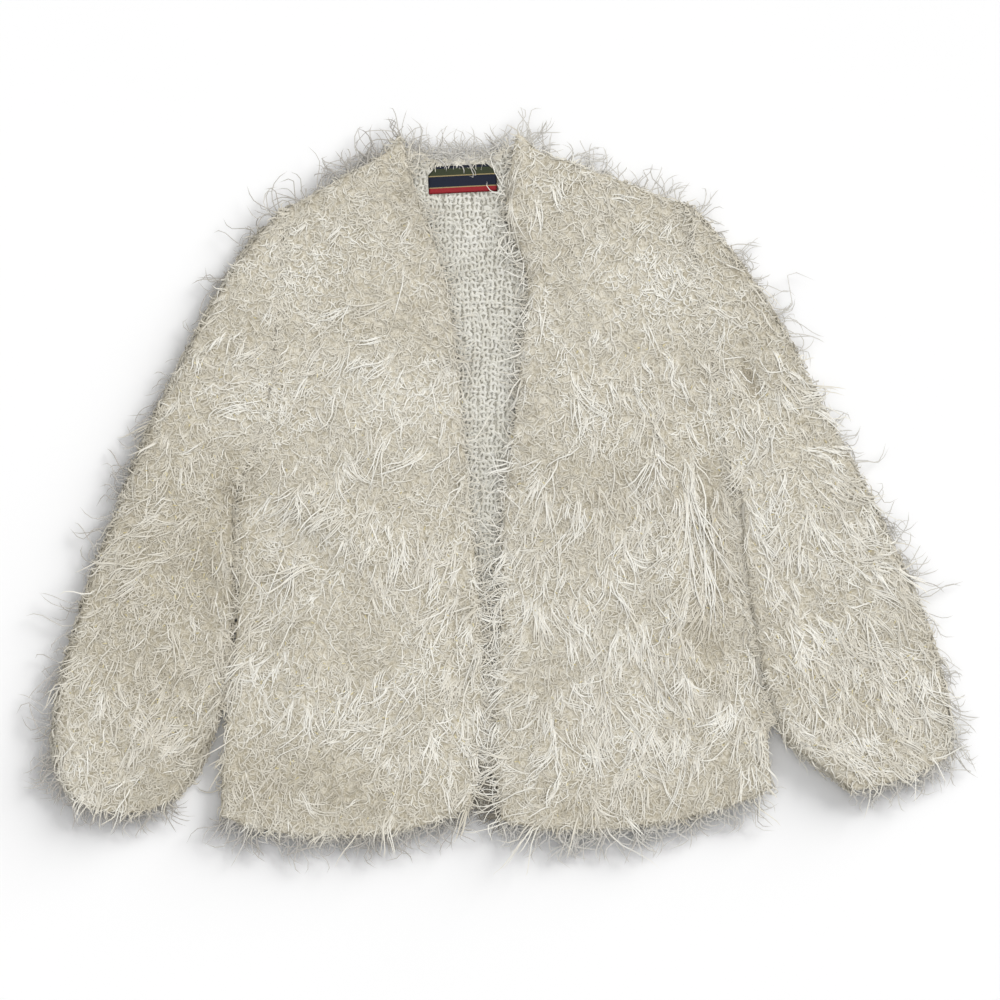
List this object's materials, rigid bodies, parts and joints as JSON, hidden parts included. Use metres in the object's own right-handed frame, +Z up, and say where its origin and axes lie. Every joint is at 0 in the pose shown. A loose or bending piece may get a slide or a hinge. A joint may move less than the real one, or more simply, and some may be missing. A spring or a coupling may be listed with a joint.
{
  "type": "shaggy knit cardigan jacket",
  "caption": "Collarless open-front cardigan jacket hand-knit in shaggy ivory eyelash yarn, with full sleeves drawn in at the cuffs, laid flat and face up.",
  "frame": {"origin": "on the floor under the middle of the bounding box", "axes": "+X to the viewer's right (the wearer's left), +Y from hem to neck, +Z up from the floor"},
  "size_m": [0.8487, 0.6671, 0.02],
  "materials": {
    "knit": "matte ivory knit with short matted pile",
    "fringe": "glossy off-white lashes",
    "label": "plain woven tab"
  },
  "bodies": {
    "root": {"back": "knit", "front_right": "knit", "front_left": "knit", "sleeve_right": "knit", "sleeve_left": "knit", "label": "label", "fringe_hem_right": "fringe", "fringe_hem_left": "fringe", "fringe_shoulder_right": "fringe", "fringe_shoulder_left": "fringe", "fringe_edge_right": "fringe", "fringe_edge_left": "fringe", "fringe_arm_right": "fringe", "fringe_arm_left": "fringe", "fringe_cuff_right": "fringe", "fringe_cuff_left": "fringe", "fringe_neck": "fringe"}
  },
  "joints": []
}
